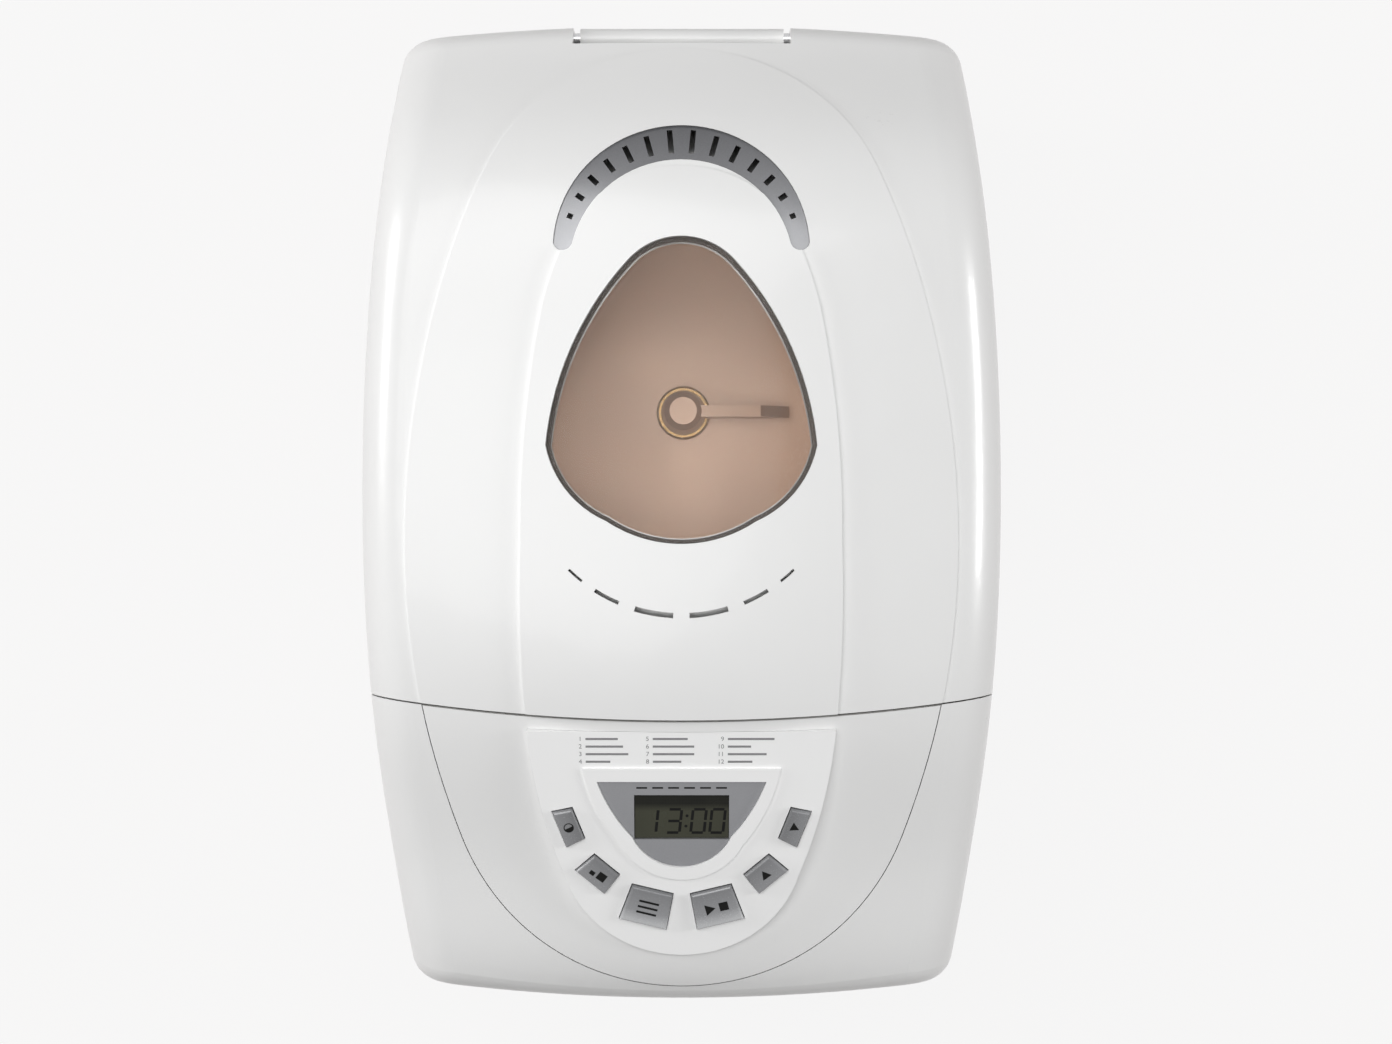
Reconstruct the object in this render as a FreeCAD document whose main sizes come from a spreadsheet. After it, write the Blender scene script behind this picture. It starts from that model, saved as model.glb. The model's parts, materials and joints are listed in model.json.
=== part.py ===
"""Bread machine: a moulded housing with a hinged, windowed lid, a removable pan and a belt-driven paddle.

Frame: millimetres, +Z up, +X to the user's right, the front at -Y and the lid hinge at +Y.
The origin is at the centre of the footprint, on the surface that the feet stand on.
"""

import FreeCAD, Part
import Sketcher
import math
import os
import re

doc = FreeCAD.newDocument("bread_machine")
sheet = doc.addObject("Spreadsheet::Sheet", "Sizes")

# Driving sizes, in millimetres and degrees
SIZES = {
    # outer form
    "half_width": 125,
    "side_radius": 1080,
    "widest_y": 6,
    "depth": 388,
    "front_radius": 900,
    "back_radius": 1300,
    "crown_radius": 520,
    "edge_radius": 22,
    "end_radius": 13,
    "foot_height": 8,
    "wall": 2.8,
    # heights of the crown line, from the back to the front
    "top_tail": 258,
    "top_back": 288,
    "top_crown": 300,
    "top_lid": 298,
    "top_seam": 288,
    "top_panel": 263,
    "top_brow": 250,
    "top_nose": 226,
    "skirt_height": 24,
    "skirt_groove": 1,
    "side_vent_length": 44,
    "side_vent_width": 3,
    "side_vent_pitch": 9,
    # lid
    "rim_height": 236,
    "seam_gap": 0.6,
    "seam_y": -79,
    "seam_radius": 830,
    "oval_raise": 1,
    "tongue_raise": 3,
    "oval_back_radius": 82,
    "oval_front_radius": 92,
    "oval_side_radius": 348,
    "oval_back_y": 183,
    "oval_front_y": -188,
    "liner_depth": 7,
    "liner_sheet": 1.5,
    "retainer_width": 6,
    "fit_gap": 0.15,
    # hinge
    "hinge_y": 190.2,
    "hinge_height": 242.5,
    "knuckle_radius": 3.8,
    "pin_radius": 2,
    "pin_gap": 0.05,
    "barrel_half": 40.5,
    "notch_half": 43,
    "knuckle_length": 19,
    # control panel
    "panel_gap": 0.35,
    "panel_tilt": 20,
    "panel_y": -80,
    "panel_height": 287.5,
    "deck_wall": 2.4,
    "deck_depth": 24,
    "button_proud": 1.8,
    "button_gap": 0.35,
    "button_travel": 1.2,
    "button_depth": 8,
    "button_flange": 1.1,
    "board": 1.6,
    "bezel": 3,
    "bezel_recess": 0.4,
    # baking chamber and pan
    "pan_y": 46,
    "chamber_half_x": 84,
    "chamber_half_y": 98,
    "chamber_corner": 10,
    "chamber_sheet": 1,
    "chamber_floor": 62,
    "element_corner": 18,
    "chamber_flange": 7,
    "deck_height": 233,
    "deck_thick": 3,
    "ledge": 4,
    "pan_half_x": 62,
    "pan_half_y": 83,
    "pan_corner": 14,
    "pan_floor": 84,
    "pan_height": 132,
    "pan_wall": 1.6,
    "pan_rim": 3,
    "collar_radius": 42,
    "socket_gap": 0.3,
    "handle_wire": 2.2,
    "handle_reach": 71.5,
    "handle_pivot": 198,
    "grip_radius": 3.6,
    "grip_length": 64,
    "eye_radius": 6,
    "eye_thick": 3.2,
    "eye_offset": 6.8,
    "stud_radius": 3,
    "stud_head": 1.6,
    "stud_gap": 0.4,
    # drive
    "base_thick": 3,
    "chassis_height": 48,
    "chassis_thick": 3,
    "shaft_radius": 5,
    "shaft_gap": 0.05,
    "bearing_radius": 11,
    "motor_y": -128,
    "motor_radius": 38,
    "motor_length": 66,
    "motor_shaft_radius": 4,
    "big_pulley_radius": 44,
    "small_pulley_radius": 11,
    "belt_height": 31,
    "belt_width": 10,
    "belt_thick": 3,
    "belt_gap": 0.3,
}
for row, (alias, number) in enumerate(SIZES.items(), 1):
    sheet.set(f"A{row}", alias)
    sheet.set(f"B{row}", str(number))
    sheet.setAlias(f"B{row}", alias)
doc.recompute()

WORD = re.compile(r"[a-z][a-z_0-9]*")
nodes = {}


def bound(expression):
    """The expression with every size named through the spreadsheet."""
    return WORD.sub(lambda m: "Sizes." + m.group() if m.group() in SIZES else m.group(), str(expression))


def value(expression):
    return float(sheet.evalExpression(bound(expression)))


def keep(name, thing):
    """Makes a finished object one of the machine's pieces."""
    thing.Label = name
    nodes[name] = thing
    return thing


# Sketches and features


def new_body(name):
    return doc.addObject("PartDesign::Body", name)


def plane_of(body, role):
    return next(f for f in body.Origin.OriginFeatures if f.Role == role)


def arc_middle(start, end, radius, turn):
    """The middle of an arc that bulges to the right of its travel, or to the left for a negative turn."""
    chord = end - start
    right = FreeCAD.Vector(chord.y, -chord.x, 0).normalize()
    rise = radius - math.sqrt(max(radius * radius - chord.Length**2 / 4, 0))
    return (start + end) * 0.5 + right * (turn * rise)


def sketch(body, role, lift, *loops):
    """A sketch of closed loops, lifted from one of the body's planes.

    A loop is a list of corners (x, y) or, where an arc starts, (x, y, radius, turn).
    A circle is a tuple (x, y, radius).
    """
    made = body.newObject("Sketcher::SketchObject", body.Name + "_sketch")
    made.AttachmentSupport = (plane_of(body, role), [""])
    made.MapMode = "FlatFace"
    made.setExpression("AttachmentOffset.Base.z", bound(lift))

    def tie(kind, *where, size):
        number = made.addConstraint(Sketcher.Constraint(kind, *where, value(size)))
        made.setExpression(f"Constraints[{number}]", bound(size))

    for loop in loops:
        first = made.GeometryCount
        if isinstance(loop, tuple):
            x, y, radius = loop
            centre = FreeCAD.Vector(value(x), value(y), 0)
            made.addGeometry(Part.Circle(centre, FreeCAD.Vector(0, 0, 1), value(radius)))
            tie("DistanceX", -1, 1, first, 3, size=x)
            tie("DistanceY", -1, 1, first, 3, size=y)
            tie("Radius", first, size=radius)
            continue
        corners = [FreeCAD.Vector(value(x), value(y), 0) for x, y, *_ in loop]
        for i, (_, _, *bend) in enumerate(loop):
            start, end = corners[i], corners[(i + 1) % len(loop)]
            if bend:
                middle = arc_middle(start, end, value(bend[0]), bend[1])
                made.addGeometry(Part.Arc(*(start, middle, end)[:: bend[1]]))
            else:
                made.addGeometry(Part.LineSegment(start, end))
        begins = [
            1 if (made.Geometry[first + i].StartPoint - corner).Length < 1e-3 else 2
            for i, corner in enumerate(corners)
        ]
        for i, (x, y, *bend) in enumerate(loop):
            after = (i + 1) % len(loop)
            tie("DistanceX", -1, 1, first + i, begins[i], size=x)
            tie("DistanceY", -1, 1, first + i, begins[i], size=y)
            made.addConstraint(
                Sketcher.Constraint("Coincident", first + i, 3 - begins[i], first + after, begins[after])
            )
            if bend:
                tie("Radius", first + i, size=bend[0])
    return made


def pad(body, profile, length):
    made = body.newObject("PartDesign::Pad", body.Name + "_pad")
    made.Profile = profile
    made.setExpression("Length", bound(length))
    return made


def pocket(body, profile, length=None, up=False):
    """A cut below its sketch, above it with up, or right through both ways with no length."""
    made = body.newObject("PartDesign::Pocket", body.Name + "_pocket")
    made.Profile = profile
    if length is None:
        made.SideType = "Symmetric"
        made.Type = "ThroughAll"
    else:
        made.setExpression("Length", bound(length))
        made.Reversed = up
    return made


def revolve(body, profile):
    made = body.newObject("PartDesign::Revolution", body.Name + "_turn")
    made.Profile = profile
    made.ReferenceAxis = (profile, ["V_Axis"])
    made.Angle = 360
    return made


def round_edges(body, base, chosen, radius):
    """A fillet on the edges of a feature that pass the test."""
    doc.recompute()
    names = [f"Edge{i}" for i, edge in enumerate(base.Shape.Edges, 1) if chosen(edge)]
    made = body.newObject("PartDesign::Fillet", body.Name + "_round")
    made.Base = (base, names)
    made.setExpression("Radius", bound(radius))
    return made


def place(thing, x="0", y="0", z="0", turn=None, axis=(0, 0, 1)):
    """Moves a piece to a point and turns it there."""
    if turn is not None:
        thing.Placement = FreeCAD.Placement(
            FreeCAD.Vector(), FreeCAD.Rotation(FreeCAD.Vector(*axis), value(turn))
        )
        thing.setExpression("Placement.Rotation.Angle", bound(turn))
    for way, size in zip("xyz", (x, y, z)):
        thing.setExpression(f"Placement.Base.{way}", bound(size))
    return thing


def prism(name, loop, bottom, height, *holes):
    """A straight-sided solid on a plan outline."""
    body = new_body(name)
    pad(body, sketch(body, "XY_Plane", bottom, loop, *holes), height)
    return body


def turned(name, loop):
    """A solid of revolution about Z, from corners (radius, height)."""
    body = new_body(name)
    revolve(body, sketch(body, "XZ_Plane", "0", loop))
    return body


def box(name, x, y, z, length, width, height):
    """A block from its centre in plan and its underside."""
    made = doc.addObject("Part::Box", name)
    for side, size in zip(("Length", "Width", "Height"), (length, width, height)):
        made.setExpression(side, bound(size))
    return place(made, f"{x}-({length})/2", f"{y}-({width})/2", z)


def rod(name, radius, length, x, y, z, turn=None, axis=(0, 1, 0)):
    made = doc.addObject("Part::Cylinder", name)
    made.setExpression("Radius", bound(radius))
    made.setExpression("Height", bound(length))
    return place(made, x, y, z, turn, axis)


def cut(name, base, *tools):
    made = base
    for number, tool in enumerate(tools):
        step = doc.addObject("Part::Cut", f"{name}_less_{number}")
        step.Base, step.Tool = made, tool
        made = step
    return made


def join(name, *things):
    made = doc.addObject("Part::MultiFuse", name + "_joined")
    made.Shapes = list(things)
    return made


def shared(name, *things):
    made = doc.addObject("Part::MultiCommon", name + "_shared")
    made.Shapes = list(things)
    return made


def group(name, *things):
    """Separate like solids in one piece, such as four feet."""
    made = doc.addObject("Part::Compound", name + "_set")
    made.Links = list(things)
    return made


def mirrored(corners, *closing):
    """A loop from its right half, listed from the bottom up, with the left half and any closing arc added."""
    left = []
    for i in range(len(corners) - 1, -1, -1):
        x, y, *_ = corners[i]
        bend = corners[i - 1][2:] if i else closing
        left.append((f"-({x})", y, *bend))
    return list(corners) + left


def turn_point(x, y, angle):
    """A point turned about the origin, in degrees."""
    a = math.radians(angle)
    return x * math.cos(a) - y * math.sin(a), x * math.sin(a) + y * math.cos(a)


# Outer form: a loft of crowned sections from the back to the front, with bowed ends

STATIONS = [
    ("tail", 200),
    ("back", 150),
    ("crown", 70),
    ("lid", -20),
    ("seam", -80),
    ("panel", -140),
    ("brow", -178),
    ("nose", -200),
]


def section(y, top, inset):
    """One crowned section: upright sides, rounded shoulders and a shallow arc across the top."""
    half = f"(half_width-({y}-widest_y)^2/(2*side_radius)-({inset}))"
    corner = f"(edge_radius-({inset}))"
    crown = f"(crown_radius-({inset}))"
    middle = f"({top}-crown_radius)"
    rise = f"sqrt(({crown}-{corner})^2-({half}-{corner})^2)"
    meet_x = f"(({half}-{corner})*{crown}/({crown}-{corner}))"
    meet_z = f"({middle}+{rise}*{crown}/({crown}-{corner}))"
    return [
        (f"-{half}", "foot_height"),
        (half, "foot_height"),
        (half, f"{middle}+{rise}", corner, 1),
        (meet_x, meet_z, crown, 1),
        (f"-{meet_x}", meet_z, corner, 1),
        (f"-{half}", f"{middle}+{rise}"),
    ]


def end_loop(side, radius, inset):
    """What lies beyond the bowed front (side -1) or back (side 1)."""
    reach = f"{side}*(half_width+20)"
    bow = f"({radius}-({inset}))"
    edge = f"{side}*(depth/2-({inset})-{bow}+sqrt({bow}^2-(half_width+20)^2))"
    far = f"{side}*(depth/2+40)"
    return [(f"-{reach}", edge, bow, -1), (reach, edge), (reach, far), (f"-{reach}", far)]


def form(name, inset):
    """The machine's outer form, taken in by an inset all round (or let out by a negative one)."""
    body = new_body(name)
    profiles = [
        sketch(body, "XZ_Plane", f"-({y})", section(f"({y})", f"top_{station}", inset))
        for station, y in STATIONS
    ]
    loft = body.newObject("PartDesign::AdditiveLoft", name + "_loft")
    loft.Profile = profiles[0]
    loft.Sections = profiles[1:]
    body.Tip = loft
    for side, radius in ((-1, "front_radius"), (1, "back_radius")):
        last = pocket(body, sketch(body, "XY_Plane", "0", end_loop(side, radius, inset)))
    if value(f"end_radius-({inset})") > 2:
        round_edges(body, last, is_end_edge, f"end_radius-({inset})")
    return body


def is_end_edge(edge):
    """An edge round the front or back end of the form, but not under it."""
    around = edge.BoundBox
    return around.YLength < 12 and around.ZMax > value("foot_height") + 1


outer_form = form("outer_form", "0")
oval_form = form("oval_form", "-oval_raise")
tongue_form = form("tongue_form", "-tongue_raise")
inner_form = form("inner_form", "wall")

# Plan outlines

OVAL_BACK = "(oval_back_y-oval_back_radius)"
OVAL_FRONT = "(oval_front_y+oval_front_radius)"
# the side arcs touch both end arcs, so their centres lie where the two differences of radius meet
SPAN = f"({OVAL_BACK}-{OVAL_FRONT})"
LONG_BACK = "(oval_side_radius-oval_back_radius)"
LONG_FRONT = "(oval_side_radius-oval_front_radius)"
ALONG = f"(({LONG_FRONT}^2-{LONG_BACK}^2+{SPAN}^2)/(2*{SPAN}))"
SIDE_Y = f"({OVAL_FRONT}+{ALONG})"
SIDE_X = f"(-sqrt({LONG_FRONT}^2-{ALONG}^2))"


def oval(inset):
    """The raised oval of the lid and control panel, as a loop."""
    side = f"(oval_side_radius-({inset}))"
    back = f"(oval_back_radius-({inset}))"
    front = f"(oval_front_radius-({inset}))"
    front_x = f"({SIDE_X}-{SIDE_X}/{LONG_FRONT}*{side})"
    front_y = f"({SIDE_Y}+({OVAL_FRONT}-{SIDE_Y})/{LONG_FRONT}*{side})"
    back_x = f"({SIDE_X}-{SIDE_X}/{LONG_BACK}*{side})"
    back_y = f"({SIDE_Y}+({OVAL_BACK}-{SIDE_Y})/{LONG_BACK}*{side})"
    return [
        (f"-{front_x}", front_y, front, 1),
        (front_x, front_y, side, 1),
        (back_x, back_y, back, 1),
        (f"-{back_x}", back_y, side, 1),
    ]


def behind_seam(shift):
    """Everything behind the arc of the lid's front edge, moved back by a shift."""
    reach = "(half_width+20)"
    edge = f"(seam_y+({shift})+{reach}^2/(2*seam_radius))"
    return [
        (f"-{reach}", edge, "seam_radius", 1),
        (reach, edge),
        (reach, "depth/2+30"),
        (f"-{reach}", "depth/2+30"),
    ]


def front_of_seam(shift):
    """Everything in front of the same arc, moved back by a shift."""
    reach = "(half_width+20)"
    edge = f"(seam_y+({shift})+{reach}^2/(2*seam_radius))"
    far = "-(depth/2+30)"
    return [(f"-{reach}", far), (reach, far), (reach, edge, "seam_radius", -1), (f"-{reach}", edge)]


TONGUE = mirrored(
    [
        ("60", "-110"),
        ("60", "seam_y", "600", 1),
        ("61.5", "-10", "420", 1),
        ("53", "80", "160", 1),
        ("41", "112", "50", 1),
    ]
)


def egg(out):
    """The window's outline, let out by a distance."""
    half = [
        (f"28.7+0.5*({out})", f"-2.5-0.87*({out})", f"40.1+({out})", 1),
        (f"52+({out})", "26.6", f"121+({out})", 1),
        (f"20.5+0.66*({out})", f"97+0.75*({out})", f"27.6+({out})", 1),
    ]
    return mirrored(half, f"51.7+({out})", 1)


def crescent(out):
    """The rear vent's outline, let out by a distance."""
    tip = f"(3.8+({out}))"
    return [
        (f"-(41.5-({out}))", "104", f"42.9-({out})", -1),
        (f"41.5-({out})", "104", tip, 1),
        (f"49+({out})", "104", f"49.1+({out})", 1),
        (f"-(49+({out}))", "104", tip, 1),
    ]


def radial_slot(angle, inner, outer, half):
    """A straight slot on a ray from the crescent's middle."""
    corners = [(half, inner), (half, outer), (-half, outer), (-half, inner)]
    return [(str(x), f"95+({y})") for x, y in (turn_point(*c, angle) for c in corners)]


def smile_slot(first, last, half):
    """A curved slot on the arc in front of the window, between two angles from straight down."""
    loop = []
    for radius, start, end, turn in ((61.3 + half, first, last, 1), (61.3 - half, last, first, -1)):
        for angle, bend in ((start, (str(radius), turn)), (end, ())):
            x, y = turn_point(0, -radius, angle)
            loop.append((f"{x}", f"22.7+({y})", *bend))
    return loop


TALL = "crown_radius"

oval_prism = prism("oval_prism", oval("0"), "rim_height", TALL)
tongue_prism = prism("tongue_prism", TONGUE, "rim_height", TALL)
lid_block = prism("lid_block", behind_seam("0"), "rim_height+seam_gap", TALL)
edge_form = form("edge_form", "wall+fit_gap")
ledge_form = form("ledge_form", "wall+ledge")
liner_form = form("liner_form", "wall+liner_depth")
hollow_form = form("hollow_form", "wall+liner_depth+liner_sheet")

# Lid shell: a crowned skin with a raised oval, a raised tongue and a front wall

crowned = join(
    "crowned",
    outer_form,
    shared("oval_top", oval_form, oval_prism),
    shared("tongue_top", tongue_form, tongue_prism),
)
knuckle_room = box(
    "knuckle_room", "0", "hinge_y-6.8+10", "rim_height", "2*(notch_half+knuckle_length)", "20", "14"
)
notch_wall = box("notch_wall", "0", "hinge_y-6.8+10", "rim_height", "2*(notch_half+2.2)", "20", "80")
lid_hollow = cut(
    "lid_hollow",
    shared("lid_inside", inner_form, prism("front_wall", behind_seam("wall"), "rim_height", TALL)),
    knuckle_room,
    notch_wall,
)
notch = box("notch", "0", "hinge_y-4.6+10", "rim_height-10", "2*notch_half", "20", "90")
pin_bore = rod(
    "pin_bore",
    "pin_radius+pin_gap",
    "2*(notch_half+knuckle_length)-4",
    "-(notch_half+knuckle_length-2)",
    "hinge_y",
    "hinge_height",
    "90",
)
heel = cut(
    "heel",
    box(
        "heel_block",
        "0",
        "hinge_y+10",
        "rim_height-10",
        "2*half_width+40",
        "20",
        "hinge_height-rim_height+10",
    ),
    rod("heel_round", "hinge_height-rim_height-0.3", "400", "-200", "hinge_y", "hinge_height", "90"),
)
vent_slots = []
for i in range(7):
    for side in (-1, 1):
        middle = 48.4 - 0.3 * i
        reach = 4.8 - 0.62 * i
        vent_slots.append(radial_slot(side * (5 + 10.15 * i), middle - reach, middle + reach, 1.05))
smile_slots = []
for first, last, half in ((2.9, 16.9, 1.05), (23, 32.6, 0.75), (38.3, 44.5, 0.5)):
    smile_slots.append(smile_slot(first, last, half))
    smile_slots.append(smile_slot(-last, -first, half))
smile_cut = new_body("smile_cut")
pad(smile_cut, sketch(smile_cut, "XY_Plane", "rim_height", *smile_slots), "120")
lid_shell = keep(
    "lid_shell",
    cut(
        "lid_shell",
        shared("lid_solid", crowned, lid_block),
        lid_hollow,
        prism("window_cut", egg("0"), "rim_height", TALL),
        prism("crescent_cut", crescent("0"), "rim_height", TALL),
        smile_cut,
        notch,
        heel,
        pin_bore,
    ),
)

# Lid fittings: grille, panes, the ring that holds the outer pane, and the liner

grille_cut = new_body("grille_cut")
pad(grille_cut, sketch(grille_cut, "XY_Plane", "rim_height", *vent_slots), "120")
keep(
    "vent_grille",
    cut(
        "vent_grille",
        shared("grille_solid", outer_form, prism("grille_prism", crescent("-fit_gap"), "rim_height", TALL)),
        inner_form,
        grille_cut,
    ),
)
keep(
    "window_pane",
    cut(
        "window_pane",
        shared("pane_solid", outer_form, prism("pane_prism", egg("-fit_gap"), "rim_height", TALL)),
        inner_form,
    ),
)
keep(
    "window_retainer",
    cut(
        "window_retainer",
        shared(
            "retainer_solid",
            edge_form,
            prism("retainer_outside", egg("retainer_width"), "rim_height", TALL),
        ),
        ledge_form,
        prism("retainer_inside", egg("-1.6"), "rim_height-5", TALL),
    ),
)
liner_hollow = shared(
    "liner_hollow", hollow_form, prism("liner_back", behind_seam("13"), "rim_height-5", TALL)
)
keep(
    "lid_liner",
    cut(
        "lid_liner",
        join(
            "liner_solid",
            shared(
                "liner_bowl",
                liner_form,
                prism("liner_front", behind_seam("11.5"), "rim_height+seam_gap", TALL),
            ),
            shared(
                "liner_flange",
                edge_form,
                prism("flange_slab", behind_seam("wall+fit_gap"), "rim_height+seam_gap", "2"),
            ),
        ),
        liner_hollow,
        prism("liner_window", egg("-2"), "rim_height", TALL),
        box(
            "liner_heel",
            "0",
            "hinge_y-7.2+10",
            "rim_height-5",
            "2*(notch_half+knuckle_length+1)",
            "20",
            "40",
        ),
    ),
)
keep(
    "inner_pane",
    cut(
        "inner_pane",
        shared("inner_solid", liner_form, prism("inner_prism", egg("-2-fit_gap"), "rim_height", TALL)),
        hollow_form,
    ),
)

# Housing: the skin below the lid and around the control panel, with an inner ledge and the hinge barrel

panel_space = prism("panel_space", oval("0"), "rim_height-90", TALL)
panel_front = prism("panel_front", front_of_seam("-seam_gap"), "rim_height-100", TALL)
lid_space = prism("lid_space", behind_seam("-seam_gap"), "rim_height", TALL)
skin = cut("skin", outer_form, inner_form)
ledge = cut(
    "ledge",
    shared(
        "ledge_slab",
        inner_form,
        box("ledge_box", "0", "0", "deck_height-2*deck_thick", "2*half_width+40", "depth+40", "deck_thick"),
    ),
    ledge_form,
)
barrel = cut(
    "barrel",
    join(
        "barrel_solid",
        rod(
            "barrel_round",
            "knuckle_radius",
            "2*barrel_half",
            "-barrel_half",
            "hinge_y",
            "hinge_height",
            "90",
        ),
        shared(
            "barrel_web",
            outer_form,
            box(
                "web_box",
                "0",
                "hinge_y-2.6+10",
                "deck_height-12",
                "2*barrel_half",
                "20",
                "hinge_height-deck_height+12",
            ),
        ),
    ),
    pin_bore,
)
housing = join(
    "housing", cut("housing_skin", skin, lid_space, shared("panel_room", panel_space, panel_front)), ledge
)
side_vents = new_body("side_vents")
VENT_LOW = "(skirt_height+16)"
VENT_HIGH = f"({VENT_LOW}+side_vent_length)"
vent_loops = []
for i in range(8):
    middle = f"78+{i}*side_vent_pitch"
    front = f"({middle}-side_vent_width/2)"
    back = f"({middle}+side_vent_width/2)"
    vent_loops.append(
        [
            (front, VENT_LOW, "0.6*side_vent_width", 1),
            (back, VENT_LOW),
            (back, VENT_HIGH, "0.6*side_vent_width", 1),
            (front, VENT_HIGH),
        ]
    )
pad(side_vents, sketch(side_vents, "YZ_Plane", "-(half_width+20)", *vent_loops), "2*(half_width+20)")
groove = cut(
    "groove",
    box("groove_slab", "0", "0", "skirt_height", "2*half_width+40", "depth+40", "1.4"),
    form("groove_form", "skirt_groove"),
)
gland_bore = rod("gland_bore", "6", "40", "-60", "depth/2-25", "26", "-90", (1, 0, 0))
keep(
    "outer_housing",
    join("housing_whole", cut("housing_bored", housing, pin_bore, gland_bore, side_vents, groove), barrel),
)

# Control panel: an oval skin panel with a tilted deck for the display and buttons let into it


def tilt(thing):
    """Sets a piece drawn in the deck's own plane into the machine."""
    return place(thing, "0", "panel_y", "panel_height", "panel_tilt", (1, 0, 0))


def deck_outline(out):
    half = [
        (f"45.6+0.97*({out})", f"-66-0.2*({out})", f"220+({out})", 1),
        (f"59.6+({out})", f"-4+({out})"),
    ]
    return mirrored(half, f"47.5+({out})", 1)


def dee(out):
    """The display's outline, flat at the back and pointed at the front."""
    half = [
        (f"19.2+0.8*({out})", f"-49-0.6*({out})", f"70+({out})", 1),
        (f"33+({out})", f"-24.8+({out})"),
    ]
    return mirrored(half, f"20.9+({out})", 1)


def rectangle(left, front, right, back):
    return [(left, front), (right, front), (right, back), (left, back)]


RING_V = -28
BUTTONS = {
    "shade_button": (-70, 46.8, 16, 7.8),
    "size_button": (-42, 48.8, 15, 10),
    "menu_button": (-14.8, 52.5, 19, 15.5),
    "start_button": (14.8, 52.5, 19, 15.5),
    "later_button": (42, 48.8, 15, 10),
    "sooner_button": (70, 46.8, 16, 7.8),
}


def key_outline(name, out):
    """A button's outline, slightly wider on the outside of the ring."""
    angle, radius, across, deep = BUTTONS[name]
    corners = []
    for x, y, sx, sy in ((-0.5, 0.5, -1, 1), (0.5, 0.5, 1, 1), (0.43, -0.5, 1, -1), (-0.43, -0.5, -1, -1)):
        ax, ay = turn_point(x * across, -(radius + y * deep), angle)
        bx, by = turn_point(sx, -sy, angle)
        corners.append((f"{ax}+({out})*{bx}", f"{RING_V + ay}+({out})*{by}"))
    return corners


deck = new_body("deck")
pad(deck, sketch(deck, "XY_Plane", "-deck_depth", deck_outline("0")), "deck_depth")
pad(deck, sketch(deck, "XY_Plane", "-1", dee("5.5"), dee("0")), "1.9")
pocket(
    deck,
    sketch(deck, "XY_Plane", "-deck_depth", deck_outline("-deck_wall")),
    "deck_depth-deck_wall",
    up=True,
)
pocket(deck, sketch(deck, "XY_Plane", "0", dee("0"), *[key_outline(k, "button_gap") for k in BUTTONS]))
tilt(deck)
keep(
    "button_deck",
    cut("button_deck", deck, prism("deck_back", behind_seam("-seam_gap-2.8"), "rim_height-60", TALL)),
)
deck_cutter = tilt(prism("deck_cutter", deck_outline("fit_gap"), "-60", "120"))
keep(
    "control_panel",
    cut(
        "control_panel",
        shared(
            "panel_solid",
            outer_form,
            prism("panel_oval", oval("panel_gap"), "rim_height-90", TALL),
            prism("panel_zone", front_of_seam("-seam_gap-0.3"), "rim_height-100", TALL),
        ),
        inner_form,
        deck_cutter,
    ),
)
bezel = new_body("bezel_plate")
WINDOW = rectangle("-18.5", "-49.9", "18.5", "-31")
pad(bezel, sketch(bezel, "XY_Plane", "-bezel_recess-bezel", dee("-fit_gap"), WINDOW), "bezel")
keep("display_bezel", tilt(bezel))
BOARD_TOP = "(-button_depth-button_travel-4.6)"
module = new_body("lcd")
pad(
    module,
    sketch(module, "XY_Plane", BOARD_TOP, rectangle("-22", "-53", "22", "-28")),
    f"-bezel_recess-bezel-{BOARD_TOP}",
)
pad(
    module,
    sketch(module, "XY_Plane", "-bezel_recess-bezel-0.5", rectangle("-18.3", "-49.7", "18.3", "-31.2")),
    "2.5",
)
keep("lcd_module", tilt(module))
wiring = new_body("wiring_board")
pad(wiring, sketch(wiring, "XY_Plane", f"{BOARD_TOP}-board", deck_outline("-deck_wall-0.2")), "board")
pocket(wiring, sketch(wiring, "XY_Plane", BOARD_TOP, rectangle("-70", "-17", "70", "5")))
keep("control_board", tilt(wiring))


def is_key_top(edge):
    """Whether an edge bounds a button's upper face."""
    return edge.BoundBox.ZMin > value("button_proud") - 0.01


switches = []
for name, (angle, radius, across, deep) in BUTTONS.items():
    key = new_body(name)
    body_pad = pad(
        key, sketch(key, "XY_Plane", "-button_depth", key_outline(name, "0")), "button_depth+button_proud"
    )
    round_edges(key, body_pad, is_key_top, "1.1")
    pad(key, sketch(key, "XY_Plane", "-deck_wall-2", key_outline(name, "button_flange")), "1.7")
    keep(name, tilt(key))
    x, y = turn_point(0, -radius, angle)
    switch = new_body("switch_" + name)
    pad(
        switch,
        sketch(
            switch,
            "XY_Plane",
            BOARD_TOP,
            rectangle(f"{x}-3", f"{y + RING_V}-3", f"{x}+3", f"{y + RING_V}+3"),
        ),
        "2.6",
    )
    pad(switch, sketch(switch, "XY_Plane", f"{BOARD_TOP}+2.6", (f"{x}", f"{y + RING_V}", "1.6")), "0.6")
    switches.append(tilt(switch))
keep("key_switches", group("key_switches", *switches))

# Deck frame between the housing and the chamber, with the wall that closes off the control panel


def rounded(half_x, half_y, corner):
    """A rounded rectangle about the pan's middle, as a loop."""
    x, y, r = f"({half_x})", f"({half_y})", f"({corner})"
    return [
        (f"-({x}-{r})", f"pan_y-{y}"),
        (f"{x}-{r}", f"pan_y-{y}", r, 1),
        (x, f"pan_y-{y}+{r}"),
        (x, f"pan_y+{y}-{r}", r, 1),
        (f"{x}-{r}", f"pan_y+{y}"),
        (f"-({x}-{r})", f"pan_y+{y}", r, 1),
        (f"-{x}", f"pan_y+{y}-{r}"),
        (f"-{x}", f"pan_y-{y}+{r}", r, 1),
    ]


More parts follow.
